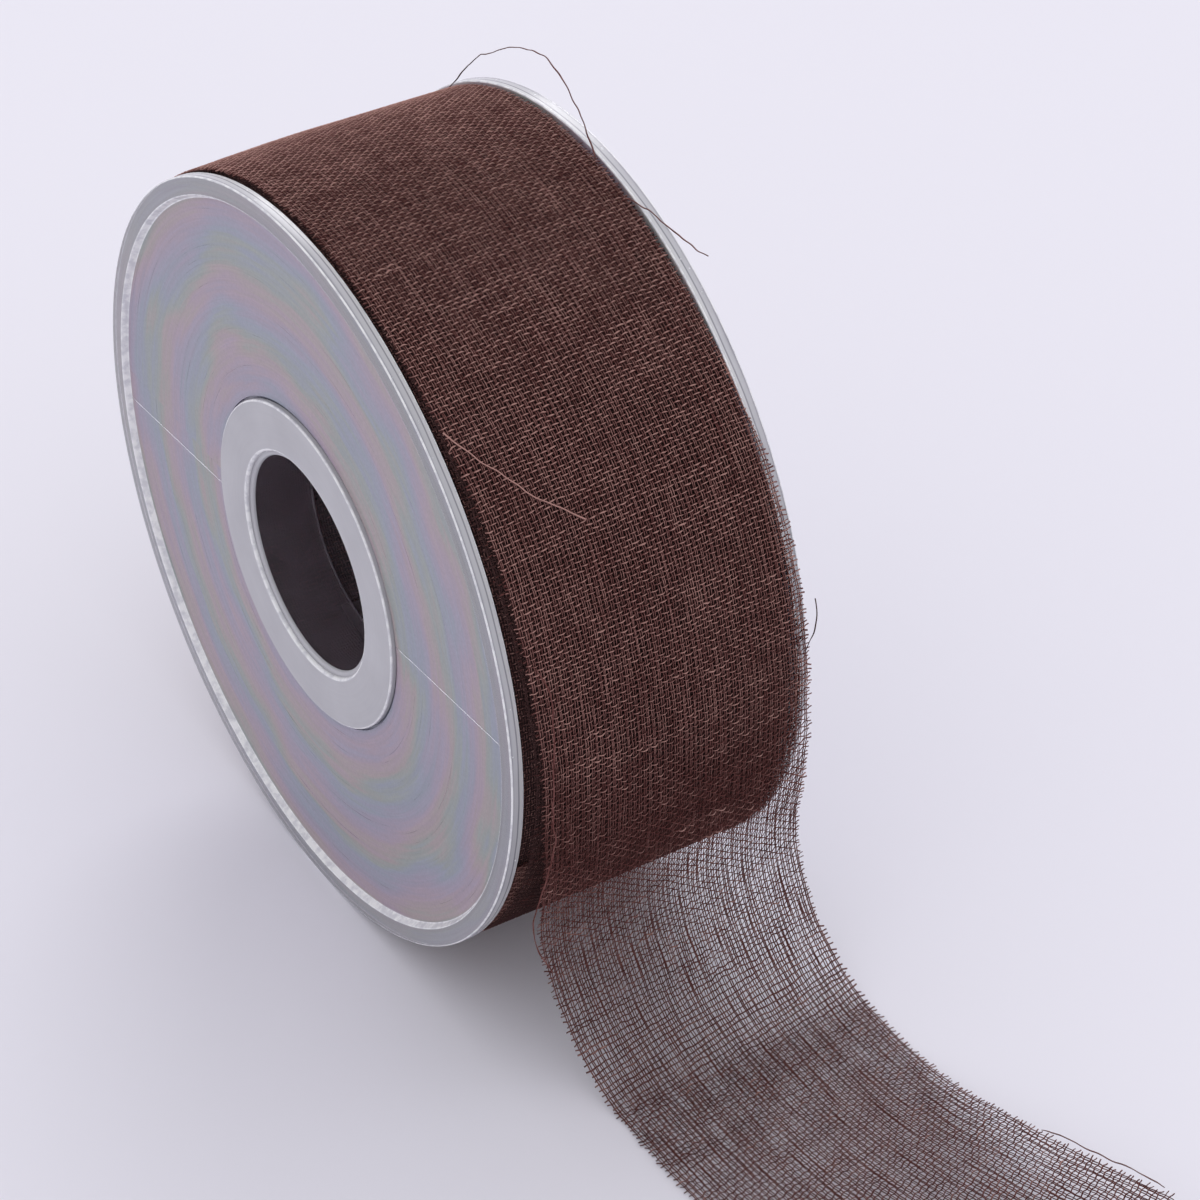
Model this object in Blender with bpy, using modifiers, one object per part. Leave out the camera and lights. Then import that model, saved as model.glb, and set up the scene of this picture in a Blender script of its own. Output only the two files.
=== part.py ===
"""Ribbon spool: two clear discs held on a clear core tube by flanged bushes,
wound full with open-weave ribbon whose free end hangs down and runs out over the table.

The spool's axis is Y and its centre is the origin.  It stands on its two rims, so +Z is up,
and the ribbon leaves it at the front, towards +X.  Lengths are in metres, angles in degrees.
"""

import math

import bmesh
import bpy
import numpy as np
from mathutils import Matrix, Vector

# Ribbon, gauze with a little body to it
RIBBON_WIDTH = 0.0400
RIBBON_THICKNESS = 0.0004

# Discs, turned flat inside, with a raised lip round the outer face
DISC_DIAMETER = 0.1080
DISC_WEB = 0.00095
LIP_HEIGHT = 0.00085
LIP_WIDTH = 0.0027
LIP_DRAFT = 0.0003
RIM_ROUND = 0.0003

# Bushes, a collar outside the disc and a spigot that runs on into the core tube
BORE_DIAMETER = 0.0303
BUSH_WALL = 0.0012
BUSH_COLLAR_DIAMETER = 0.0464
BUSH_COLLAR_THICKNESS = 0.0008
BUSH_SPIGOT_LENGTH = 0.0090
BUSH_EDGE_ROUND = 0.0003
BORE_MOUTH_ROUND = 0.0010
SEAT_FLOOR = 0.0005

# Core tube and the adhesive tab that holds the ribbon's inner end
TUBE_WALL = 0.0014
TAB_LENGTH = 0.0160
TAB_WIDTH = 0.0250
TAB_THICKNESS = 0.0003

# Winding, its loose outer turn and the free end
WINDING_BELOW_RIM = 0.0010
TURN_START_ANGLE = 345.0
TURN_SWELL_ANGLE = 215.0
TURN_OVER_RIM_ANGLE = 75.0
TURN_LEAVE_ANGLE = 2.0
TURN_STAND_OFF = 0.0018
SIDE_DRIFT = 0.0010
SIDE_DRIFT_END_ANGLE = 30.0

# The hanging stretch: share of the drop, stand-off in front of the rim, shift along the axis
TAIL_HANG = (
    (0.14, 0.0024, 0.0010),
    (0.25, 0.0020, 0.0011),
    (0.36, 0.0009, 0.0014),
    (0.47, -0.0007, 0.0020),
    (0.58, -0.0018, 0.0029),
    (0.68, -0.0020, 0.0040),
    (0.79, -0.0012, 0.0053),
    (0.89, 0.0008, 0.0065),
    (0.96, 0.0043, 0.0073),
)
# The stretch on the table: run in front of the rim, shift along the axis
TAIL_LAY = (
    (0.0095, 0.0076),
    (0.0160, 0.0076),
    (0.0260, 0.0078),
    (0.0360, 0.0088),
    (0.0460, 0.0106),
    (0.0560, 0.0128),
    (0.0660, 0.0152),
    (0.0740, 0.0172),
)
TAIL_TURN_ANGLE = 13.0
TAIL_TURN_RUN = (0.0200, 0.0500)
TAIL_EDGE_LIFT = 0.0090
TAIL_LIFT_RUN = (0.0180, 0.0740)

# Clearances
SEAT_GAP = 0.0003
SIDE_PLAY = 0.0004
RUNNING_GAP = 0.0003
TABLE_GAP = 0.0001

# Facets
DISC_STEPS = 96
HUB_STEPS = 48
ARC_STEPS = 4
TURN_STATIONS = 92
TAIL_SPACING = 0.0030
TAIL_STRIPS = 6
TAB_STATIONS = 8

# Sizes that follow from the ones above
DISC_RADIUS = DISC_DIAMETER / 2
DISC_INNER_FACE = RIBBON_WIDTH / 2 + SIDE_PLAY
DISC_OUTER_FACE = DISC_INNER_FACE + DISC_WEB
LIP_FACE = DISC_OUTER_FACE + LIP_HEIGHT
BORE_RADIUS = BORE_DIAMETER / 2
SPIGOT_RADIUS = BORE_RADIUS + BUSH_WALL
TUBE_BORE_RADIUS = SPIGOT_RADIUS + SEAT_GAP
TUBE_RADIUS = TUBE_BORE_RADIUS + TUBE_WALL
COLLAR_RADIUS = BUSH_COLLAR_DIAMETER / 2
COLLAR_SEAT = DISC_INNER_FACE + SEAT_FLOOR
COLLAR_UNDERSIDE = COLLAR_SEAT + SEAT_GAP
COLLAR_FACE = COLLAR_UNDERSIDE + BUSH_COLLAR_THICKNESS
TAB_INNER_RADIUS = TUBE_RADIUS + SEAT_GAP
WINDING_BORE_RADIUS = TAB_INNER_RADIUS + TAB_THICKNESS + SEAT_GAP
WINDING_RADIUS = DISC_RADIUS - WINDING_BELOW_RIM
TURN_TIGHT_RADIUS = WINDING_RADIUS + RUNNING_GAP + RIBBON_THICKNESS / 2
TURN_OVER_RIM_RADIUS = DISC_RADIUS + RUNNING_GAP + RIBBON_THICKNESS / 2
TURN_LEAVE_RADIUS = TURN_OVER_RIM_RADIUS + TURN_STAND_OFF
TABLE = -DISC_RADIUS * math.cos(math.pi / DISC_STEPS)
TAIL_ON_TABLE = TABLE + TABLE_GAP + RIBBON_THICKNESS / 2


def clear_scene():
    """Start from an empty scene."""
    for old in list(bpy.data.objects):
        bpy.data.objects.remove(old, do_unlink=True)


def new_collection(name):
    """A collection of that name, linked to the scene."""
    collection = bpy.data.collections.new(name)
    bpy.context.scene.collection.children.link(collection)
    return collection


def plain_material(name, color, roughness, transmission=0.0):
    """Principled material of one colour, clear where transmission is given."""
    material = bpy.data.materials.new(name)
    material.use_nodes = True
    shader = material.node_tree.nodes["Principled BSDF"]
    shader.inputs["Base Color"].default_value = (*color, 1.0)
    shader.inputs["Roughness"].default_value = roughness
    shader.inputs["Metallic"].default_value = 0.0
    shader.inputs["Transmission Weight"].default_value = transmission
    return material


def smooth_step(value, low, high):
    """0 below low, 1 above high, and an even S between them."""
    share = min(max((value - low) / (high - low), 0.0), 1.0)
    return share * share * (3.0 - 2.0 * share)


def arc(centre, radius, start, end):
    """Points on a circular arc in the profile plane, from one angle to the other."""
    angles = [math.radians(start + (end - start) * i / ARC_STEPS) for i in range(ARC_STEPS + 1)]
    return [(centre[0] + radius * math.cos(a), centre[1] + radius * math.sin(a)) for a in angles]


def place(obj, collection, parent, material):
    """Put an object in the collection, under its parent, with its material."""
    collection.objects.link(obj)
    obj.parent = parent
    obj.data.materials.append(material)


def turned(name, profile, steps, facing):
    """A ring turned from a closed profile of (radius, height) points.

    The profile runs down its outer side.  facing is +1 for a piece whose height runs along +Y and
    -1 for one along -Y.  Half a step of turn puts a flat, not a corner, at the bottom.
    """
    mesh = bpy.data.meshes.new(name)
    shape = bmesh.new()
    corners = [shape.verts.new((radius, 0.0, height)) for radius, height in profile]
    for first, second in zip(corners, corners[1:] + corners[:1]):
        shape.edges.new((first, second))
    shape.to_mesh(mesh)
    shape.free()
    obj = bpy.data.objects.new(name, mesh)
    screw = obj.modifiers.new("turning", "SCREW")
    screw.axis = "Z"
    screw.angle = math.tau
    screw.steps = steps
    screw.render_steps = steps
    screw.use_merge_vertices = True
    screw.merge_threshold = 0.00001
    screw.use_smooth_shade = True
    tilt = Matrix.Rotation(-facing * math.pi / 2, 4, "X")
    obj.matrix_world = tilt @ Matrix.Rotation(math.pi / steps, 4, "Z")
    return obj


def bent_strip(name, surface, along, across, thickness):
    """A flat grid bent by surface(u, v), u and v from 0 to 1, and given a thickness."""
    mesh = bpy.data.meshes.new(name)
    shape = bmesh.new()
    bmesh.ops.create_grid(shape, x_segments=along, y_segments=across, size=0.5)
    for vert in shape.verts:
        vert.co = surface(vert.co.x + 0.5, vert.co.y + 0.5)
    shape.to_mesh(mesh)
    shape.free()
    mesh.shade_smooth()
    obj = bpy.data.objects.new(name, mesh)
    wall = obj.modifiers.new("thickness", "SOLIDIFY")
    wall.thickness = thickness
    wall.offset = 0.0
    wall.use_even_offset = True
    return obj


def disc_profile():
    """Half section of a disc: flat inside, a seat for the bush, a thin web and a raised lip."""
    edge = min(RIM_ROUND, (DISC_WEB + LIP_HEIGHT) / 3)
    seat_radius = COLLAR_RADIUS + SEAT_GAP
    lip_inner = DISC_RADIUS - LIP_WIDTH
    profile = [
        (TUBE_BORE_RADIUS, COLLAR_SEAT),
        (seat_radius, COLLAR_SEAT),
        (seat_radius, DISC_OUTER_FACE),
        (lip_inner - LIP_DRAFT, DISC_OUTER_FACE),
        (lip_inner, LIP_FACE),
    ]
    profile += arc((DISC_RADIUS - edge, LIP_FACE - edge), edge, 90, 0)
    profile += arc((DISC_RADIUS - edge, DISC_INNER_FACE + edge), edge, 0, -90)
    profile.append((TUBE_BORE_RADIUS, DISC_INNER_FACE))
    return profile


def bush_profile():
    """Half section of a bush: rounded bore mouth, collar, and a spigot for the core tube."""
    mouth = min(BORE_MOUTH_ROUND, BUSH_WALL * 0.9)
    edge = min(BUSH_EDGE_ROUND, BUSH_COLLAR_THICKNESS / 3)
    spigot_end = COLLAR_UNDERSIDE - BUSH_SPIGOT_LENGTH
    profile = arc((COLLAR_RADIUS - edge, COLLAR_FACE - edge), edge, 90, 0)
    profile += [
        (COLLAR_RADIUS, COLLAR_UNDERSIDE),
        (SPIGOT_RADIUS, COLLAR_UNDERSIDE),
        (SPIGOT_RADIUS, spigot_end + edge),
        (SPIGOT_RADIUS - edge, spigot_end),
        (BORE_RADIUS, spigot_end),
    ]
    profile += arc((BORE_RADIUS + mouth, COLLAR_FACE - mouth), mouth, 180, 90)
    return profile


def ring_profile(inner, outer, half_length):
    """Half section of a plain tube."""
    return [(inner, half_length), (outer, half_length), (outer, -half_length), (inner, -half_length)]


def turn_centre(angle):
    """Radius and axial shift of the loose outer turn at an angle measured up from the front.

    The turn is tight on the winding from its start round the bottom and back, swells until it
    clears the rims near the top, then stands off further to where it leaves, drifting sideways.
    """
    swell = smooth_step(-angle, -TURN_SWELL_ANGLE, -TURN_OVER_RIM_ANGLE)
    free = max(TURN_OVER_RIM_ANGLE - angle, 0.0) / (TURN_OVER_RIM_ANGLE - TURN_LEAVE_ANGLE)
    radius = TURN_TIGHT_RADIUS + (TURN_OVER_RIM_RADIUS - TURN_TIGHT_RADIUS) * swell
    radius += (TURN_LEAVE_RADIUS - TURN_OVER_RIM_RADIUS) * free ** 2
    shift = SIDE_DRIFT * smooth_step(-angle, -TURN_OVER_RIM_ANGLE, -SIDE_DRIFT_END_ANGLE)
    return radius, shift


def turn_point(angle, across):
    """Point of the outer turn at an angle and a distance across the ribbon from its middle."""
    radius, shift = turn_centre(angle)
    turn = math.radians(angle)
    return Vector((radius * math.cos(turn), shift + across, radius * math.sin(turn)))


def turn_surface(u, v):
    """Outer turn from its start, u 0, to where it leaves the winding, u 1."""
    angle = TURN_START_ANGLE + (TURN_LEAVE_ANGLE - TURN_START_ANGLE) * u
    return turn_point(angle, (v - 0.5) * RIBBON_WIDTH)


def smooth_route(points, spacing):
    """Evenly spread points on a cubic curve through the given ones.

    Each span is a Hermite cubic whose end slopes come from the neighbouring points.
    """
    points = np.array(points)
    steps = np.linalg.norm(np.diff(points, axis=0), axis=1)
    run = np.concatenate([[0.0], np.cumsum(steps)])
    slopes = np.gradient(points, run, axis=0)
    count = max(int(round(run[-1] / spacing)), 2)
    wanted = np.linspace(0.0, run[-1], count + 1)
    span = np.clip(np.searchsorted(run, wanted, side="right") - 1, 0, len(steps) - 1)
    length = steps[span][:, None]
    t = (wanted - run[span])[:, None] / length
    start, end = points[span], points[span + 1]
    slope_in, slope_out = slopes[span] * length, slopes[span + 1] * length
    return (
        (2 * t**3 - 3 * t**2 + 1) * start
        + (t**3 - 2 * t**2 + t) * slope_in
        + (3 * t**2 - 2 * t**3) * end
        + (t**3 - t**2) * slope_out
    )


def tail_route():
    """Middle line of the free end, from just below the outer turn's end out over the table."""
    last, before = turn_point(TURN_LEAVE_ANGLE, 0.0), turn_point(TURN_LEAVE_ANGLE + 2.0, 0.0)
    start = last + (last - before).normalized() * SEAT_GAP
    drop = start.z - TAIL_ON_TABLE
    points = [tuple(start)]
    points += [(DISC_RADIUS + off, shift, start.z - share * drop) for share, off, shift in TAIL_HANG]
    points += [(DISC_RADIUS + run, shift, TAIL_ON_TABLE) for run, shift in TAIL_LAY]
    route = smooth_route(points, TAIL_SPACING)
    route[:, 2] = np.maximum(route[:, 2], TAIL_ON_TABLE)
    return route


def tail_surface(route):
    """Surface of the free end: it turns a little on the table and its far edge rises there."""
    last = len(route) - 1

    def surface(u, v):
        centre = Vector(route[round(u * last)])
        run = centre.x - DISC_RADIUS if centre.z < TAIL_ON_TABLE + RIBBON_THICKNESS else 0.0
        heading = math.radians(TAIL_TURN_ANGLE) * smooth_step(run, *TAIL_TURN_RUN)
        off = (v - 0.5) * RIBBON_WIDTH
        low, high = TAIL_LIFT_RUN
        lift = TAIL_EDGE_LIFT * max((run - low) / (high - low), 0.0) ** 1.2 * v**1.5
        return centre + Vector((-math.sin(heading) * off, math.cos(heading) * off, lift))

    return surface


def tab_surface(u, v):
    """Adhesive tab bent round the core tube, centred at the bottom."""
    radius = TAB_INNER_RADIUS + TAB_THICKNESS / 2
    turn = -math.pi / 2 + (u - 0.5) * TAB_LENGTH / radius
    return Vector((radius * math.cos(turn), (v - 0.5) * TAB_WIDTH, radius * math.sin(turn)))


def ribbon_self_gap(route):
    """Least gap between the outer turn and the free end that hangs in front of its start."""
    angles = np.linspace(TURN_START_ANGLE, TURN_LEAVE_ANGLE, TURN_STATIONS + 1)
    turn = np.array([turn_point(angle, 0.0) for angle in angles if angle > 180.0])
    apart = np.linalg.norm(turn[:, None] - route[None], axis=2)
    return apart.min() - RIBBON_THICKNESS


clear_scene()
parts = new_collection("ribbon_spool")
axle = bpy.data.objects.new("spool_axis", None)
parts.objects.link(axle)
table_side = bpy.data.objects.new("ribbon_lead", None)
parts.objects.link(table_side)

clear_plastic = plain_material("clear_disc", (0.62, 0.61, 0.65), 0.22, 0.35)
frosted_plastic = plain_material("frosted_bush", (0.66, 0.66, 0.69), 0.45, 0.15)
tube_plastic = plain_material("clear_tube", (0.60, 0.58, 0.60), 0.25, 0.35)
tab_film = plain_material("tab_film", (0.75, 0.72, 0.62), 0.4)
brown_gauze = plain_material("brown_gauze", (0.075, 0.040, 0.034), 0.85)

for side, facing in (("near", -1), ("far", 1)):
    disc = turned(f"{side}_disc", disc_profile(), DISC_STEPS, facing)
    place(disc, parts, axle, clear_plastic)
    bush = turned(f"{side}_bush", bush_profile(), HUB_STEPS, facing)
    place(bush, parts, axle, frosted_plastic)

tube_half_length = DISC_INNER_FACE - SEAT_GAP
tube_profile = ring_profile(TUBE_BORE_RADIUS, TUBE_RADIUS, tube_half_length)
place(turned("core_tube", tube_profile, HUB_STEPS, 1), parts, axle, tube_plastic)

tab = bent_strip("start_tab", tab_surface, TAB_STATIONS, 1, TAB_THICKNESS)
place(tab, parts, axle, tab_film)

winding_profile = ring_profile(WINDING_BORE_RADIUS, WINDING_RADIUS, RIBBON_WIDTH / 2)
place(turned("ribbon_winding", winding_profile, DISC_STEPS, 1), parts, axle, brown_gauze)

outer_turn = bent_strip("ribbon_outer_turn", turn_surface, TURN_STATIONS, 1, RIBBON_THICKNESS)
place(outer_turn, parts, table_side, brown_gauze)

tail_line = tail_route()
tail_stations = len(tail_line) - 1
tail = bent_strip("ribbon_tail", tail_surface(tail_line), tail_stations, TAIL_STRIPS, RIBBON_THICKNESS)
place(tail, parts, table_side, brown_gauze)

print(f"least gap of the ribbon to itself: {ribbon_self_gap(tail_line) * 1000:.2f} mm")
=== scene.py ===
import functools
import math

import bpy
import numpy as np
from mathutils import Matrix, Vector


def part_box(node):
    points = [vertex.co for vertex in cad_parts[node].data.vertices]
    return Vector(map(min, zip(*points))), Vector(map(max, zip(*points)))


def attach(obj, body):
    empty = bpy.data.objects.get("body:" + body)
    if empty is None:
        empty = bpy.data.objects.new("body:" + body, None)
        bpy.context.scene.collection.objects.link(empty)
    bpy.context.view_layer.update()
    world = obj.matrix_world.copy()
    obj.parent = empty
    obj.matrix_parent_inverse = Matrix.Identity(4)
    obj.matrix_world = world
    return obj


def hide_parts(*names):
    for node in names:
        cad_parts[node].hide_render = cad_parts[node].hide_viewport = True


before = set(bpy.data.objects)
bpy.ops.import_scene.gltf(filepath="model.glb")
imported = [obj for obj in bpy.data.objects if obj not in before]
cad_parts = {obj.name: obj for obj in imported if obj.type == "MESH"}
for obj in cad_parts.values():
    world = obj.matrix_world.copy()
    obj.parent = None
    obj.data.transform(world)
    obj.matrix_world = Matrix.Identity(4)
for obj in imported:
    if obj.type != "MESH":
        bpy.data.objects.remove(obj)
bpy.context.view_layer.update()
scene = bpy.context.scene

# Core tube: a clear extruded plastic tube, cut to length, that the ribbon is wound on.
# The bushes plug into its two ends, and the dark ribbon shows through its wall inside the bore.
MM = 0.001
TUBE_WALL = 1.4 * MM
TUBE_EDGE_ROUND = 0.15 * MM
TUBE_IOR = 1.16
HUB_TURN_STEPS = 192
SHARP_ANGLE = 32


def arc(centre, radius, start, end, steps=6):
    """Points (radius, height) on an arc of a profile, between two angles in degrees."""
    angle = np.radians(np.linspace(start, end, steps + 1))
    return np.stack([centre[0] + radius * np.cos(angle), centre[1] + radius * np.sin(angle)], axis=1)


def put(name, data):
    """A new object in the scene: a mesh, a lamp or a camera."""
    thing = bpy.data.objects.new(name, data)
    scene.collection.objects.link(thing)
    return thing


def put_mesh(name, points, quads, finishes, ends=()):
    """A smooth mesh object with its finishes, from arrays of points, of four-sided and of end faces."""
    mesh = bpy.data.meshes.new(name)
    blocks = [np.asarray(quads), *ends]
    sizes = np.concatenate([np.full(len(block), block.shape[1]) for block in blocks])
    corners = np.concatenate([block.ravel() for block in blocks])
    mesh.vertices.add(len(points))
    mesh.vertices.foreach_set("co", np.asarray(points, np.float32).ravel())
    mesh.loops.add(len(corners))
    mesh.loops.foreach_set("vertex_index", corners.astype(np.int32))
    mesh.polygons.add(len(sizes))
    mesh.polygons.foreach_set("loop_start", (np.cumsum(sizes) - sizes).astype(np.int32))
    mesh.update(calc_edges=True)
    mesh.polygons.foreach_set("use_smooth", np.ones(len(sizes), bool))
    for finish in finishes:
        mesh.materials.append(finish)
    return put(name, mesh)


def ring_quads(rings, next_rings, count):
    """Four-sided faces from each ring of so many corners to the ring next to it."""
    place = np.arange(count)
    beside = (place + 1) % count
    first, second = rings[:, None] * count, next_rings[:, None] * count
    return np.stack([first + place, first + beside, second + beside, second + place], axis=2).reshape(-1, 4)


def turned(name, profile, steps, finishes, side=1, slots=None):
    """A ring turned about Y: a profile point (r, h) at turn a goes to (r cos a, side h, r sin a).

    The profile is a closed outline. slots gives each of its lines a material slot.
    """
    turn = np.arange(steps) * math.tau / steps
    radius, height = profile.T
    x, z = np.outer(np.cos(turn), radius), np.outer(np.sin(turn), radius)
    points = np.stack([x, np.broadcast_to(side * height, x.shape), z], axis=2)
    rings = np.arange(steps)
    quads = ring_quads(rings, (rings + 1) % steps, len(profile))
    area = np.sum(radius * np.roll(height, -1) - np.roll(radius, -1) * height)
    if area * side < 0:
        quads = quads[:, ::-1]
    piece = put_mesh(name, points.reshape(-1, 3), quads, finishes)
    if slots is not None:
        piece.data.polygons.foreach_set("material_index", np.tile(np.asarray(slots, np.int32), steps))
    piece.data.set_sharp_from_angle(angle=math.radians(SHARP_ANGLE))
    return piece


def feed(tree, socket, value):
    """Links a node's output into a socket, or sets the socket to a plain value."""
    if isinstance(value, bpy.types.NodeSocket):
        tree.links.new(value, socket)
    else:
        socket.default_value = value


def add(tree, kind, inputs=None, **settings):
    """A shader node with its settings, and with each named input linked or set."""
    node = tree.nodes.new("ShaderNode" + kind)
    for name, value in settings.items():
        setattr(node, name, value)
    for name, value in (inputs or {}).items():
        feed(tree, node.inputs[name], value)
    return node


def maths(tree, operation, first, second=0.0, third=0.0):
    """The result of one math node."""
    return add(tree, "Math", {0: first, 1: second, 2: third}, operation=operation).outputs[0]


def ramp(tree, factor, *stops):
    """The colour of a ramp through (place, colour) stops."""
    node = add(tree, "ValToRGB", {"Fac": factor})
    while len(node.color_ramp.elements) < len(stops):
        node.color_ramp.elements.new(1.0)
    for element, (place, colour) in zip(node.color_ramp.elements, stops):
        element.position = place
        element.color = (*colour, 1.0)
    return node.outputs["Color"]


def between(tree, factor, low, high):
    """A value spread evenly from low to high as the factor goes from 0 to 1."""
    return maths(tree, "MULTIPLY_ADD", factor, high - low, low)


def noise(tree, vector, scale, detail=3.0, roughness=0.55):
    """The value of a noise texture at a scale in lumps a metre."""
    settings = {"Vector": vector, "Scale": scale, "Detail": detail, "Roughness": roughness}
    return add(tree, "TexNoise", settings).outputs["Fac"]


def stretched(tree, vector, scale):
    """Coordinates scaled by an amount of their own along X, Y and Z."""
    return add(tree, "Mapping", {"Vector": vector, "Scale": scale}).outputs["Vector"]


def parts_of(tree, vector):
    """The X, Y and Z of a vector, by name."""
    return add(tree, "SeparateXYZ", {"Vector": vector}).outputs


def bump(tree, height, depth):
    """A normal raised by a height from 0 to 1 over a depth in metres."""
    return add(tree, "Bump", {"Height": height, "Strength": 1.0, "Distance": depth}).outputs["Normal"]


def finish_of(name):
    """A new material, its node tree and the piece's own coordinates, in metres."""
    material = bpy.data.materials.new(name)
    material.use_nodes = True
    return material, material.node_tree, add(material.node_tree, "TexCoord").outputs["Object"]


def finished(material, **sockets):
    """The material with its shader's sockets linked or set. Underscores in their names mean spaces."""
    tree = material.node_tree
    for name, value in sockets.items():
        feed(tree, tree.nodes["Principled BSDF"].inputs[name.replace("_", " ")], value)
    return material


def clear_tube_finish():
    """Clear extruded plastic with faint draw lines along its length and a little haze."""
    material, tree, place = finish_of("clear_tube_plastic")
    draw_lines = noise(tree, stretched(tree, place, (1.0, 0.04, 1.0)), 1800.0, 2.0)
    haze = noise(tree, place, 260.0)
    return finished(
        material,
        Base_Color=ramp(tree, haze, (0.25, (0.74, 0.66, 0.72)), (0.8, (0.84, 0.76, 0.83))),
        Roughness=between(tree, haze, 0.06, 0.2),
        Transmission_Weight=0.95,
        IOR=TUBE_IOR,
        Normal=bump(tree, draw_lines, 0.02 * MM),
    )


clear_tube_plastic = clear_tube_finish()
tube_half, tube_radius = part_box("core_tube")[1].yz
tube_bore = tube_radius - TUBE_WALL
edge = TUBE_EDGE_ROUND
tube_profile = np.vstack(
    [
        arc((tube_radius - edge, -tube_half + edge), edge, -90, 0),
        arc((tube_radius - edge, tube_half - edge), edge, 0, 90),
        arc((tube_bore + edge, tube_half - edge), edge, 90, 180),
        arc((tube_bore + edge, -tube_half + edge), edge, 180, 270),
    ]
)
core_tube = turned("core_tube_clear", tube_profile, HUB_TURN_STEPS, [clear_tube_plastic])
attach(core_tube, "spool")
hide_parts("core_tube")

# Discs: two moulded plates of hazy clear plastic, flat inside, with a raised lip round the outer face.
# Fine tool lines and stress in the moulding give the web faint rings of pastel colour, and a thin weld
# line crosses it where the melt met. The bushes' collars hold them on the tube.
DISC_TURN_STEPS = 384
PLASTIC_IOR = 1.49
DISC_WEB = 0.95 * MM
LIP_WIDTH = 2.7 * MM
LIP_DRAFT = 0.3 * MM
LIP_FILLET = 0.2 * MM
RIM_ROUND = 0.2 * MM
SEAT_RADIUS = 23.5 * MM
SEAT_FLOOR = 0.5 * MM
HOLE_CLEARANCE = 0.3 * MM
SIDES = (("near", -1), ("far", 1))
WELD_LINE_TILT = 5.5
WELD_LINE_WIDTH = 0.16 * MM
WELD_LINE_HEIGHT = 0.05 * MM
WELD_LINE_SUNK = 0.4
WELD_LINE_GAP = 0.1 * MM
WELD_LINE_STEPS = 24


def new_group(name, inputs, outputs):
    """A shader node group, with its inputs and outputs by name. Inputs have a kind, outputs are values."""
    group = bpy.data.node_groups.new(name, "ShaderNodeTree")
    for socket, kind in inputs.items():
        group.interface.new_socket(socket, in_out="INPUT", socket_type="NodeSocket" + kind)
    for socket in outputs:
        group.interface.new_socket(socket, in_out="OUTPUT", socket_type="NodeSocketFloat")
    return group, group.nodes.new("NodeGroupInput").outputs, group.nodes.new("NodeGroupOutput").inputs


def tool_lines_group():
    """Mask of the fine lines of a turned mould: noise along the radius, broken along the turn."""
    inputs = {"Place": "Vector", "Lines a metre": "Float"}
    group, given, out = new_group("tool_lines", inputs, ("Lines", "Radius"))
    parts = parts_of(group, given["Place"])
    flat = add(group, "CombineXYZ", {"X": parts["X"], "Y": parts["Z"]})
    radius = add(group, "VectorMath", {0: flat.outputs["Vector"]}, operation="LENGTH").outputs["Value"]
    turn = maths(group, "ARCTAN2", parts["Z"], parts["X"])
    counted = maths(group, "MULTIPLY", radius, given["Lines a metre"])
    spiral = add(group, "CombineXYZ", {"X": counted, "Y": turn})
    lines = noise(group, spiral.outputs["Vector"], 1.0, 4.0, 0.7)
    group.links.new(lines, out["Lines"])
    group.links.new(radius, out["Radius"])
    return group


tool_lines = tool_lines_group()


def tool_marks(tree, place, lines):
    """Mask and radius of the tool lines at a place, for so many lines a metre."""
    return add(tree, "Group", {"Place": place, "Lines a metre": lines}, node_tree=tool_lines).outputs


def disc_web_finish():
    """Hazy clear plastic: grey, with rings of pastel colour that wander a little with the turn."""
    material, tree, place = finish_of("disc_web_plastic")
    marks = tool_marks(tree, place, 2400.0)
    lines, radius = marks["Lines"], marks["Radius"]
    wander = noise(tree, place, 26.0, 2.0)
    smear = tool_marks(tree, place, 340.0)["Lines"]
    wander = maths(tree, "MULTIPLY_ADD", wander, 2.4, maths(tree, "MULTIPLY", smear, 1.3))
    rings = maths(tree, "MULTIPLY_ADD", radius, 92.0, wander)
    pastel = ramp(
        tree,
        maths(tree, "FRACT", rings),
        (0.0, (0.37, 0.325, 0.425)),
        (0.2, (0.42, 0.325, 0.395)),
        (0.38, (0.415, 0.345, 0.35)),
        (0.55, (0.335, 0.365, 0.35)),
        (0.75, (0.315, 0.345, 0.43)),
        (1.0, (0.37, 0.325, 0.425)),
    )
    speckle = noise(tree, place, 2100.0, 2.0, 0.7)
    streak = maths(tree, "MULTIPLY", between(tree, lines, 0.68, 1.22), between(tree, speckle, 0.8, 1.2))
    tint = add(tree, "Mix", {"Factor": 1.0, 6: pastel, 7: streak}, data_type="RGBA", blend_type="MULTIPLY")
    return finished(
        material,
        Base_Color=tint.outputs[2],
        Roughness=between(tree, lines, 0.2, 0.42),
        Transmission_Weight=0.12,
        IOR=PLASTIC_IOR,
        Normal=bump(tree, lines, 0.012 * MM),
    )


def disc_rim_finish():
    """The same plastic at the lip, polished, clearer, with small nicks along the edge."""
    material, tree, place = finish_of("disc_rim_plastic")
    lines = tool_marks(tree, place, 1500.0)["Lines"]
    nicks = noise(tree, place, 900.0, 3.0, 0.65)
    return finished(
        material,
        Base_Color=ramp(tree, lines, (0.3, (0.70, 0.69, 0.74)), (0.7, (0.92, 0.91, 0.95))),
        Roughness=between(tree, nicks, 0.04, 0.16),
        Transmission_Weight=0.72,
        IOR=PLASTIC_IOR,
        Normal=bump(tree, lines, 0.015 * MM),
    )


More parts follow.
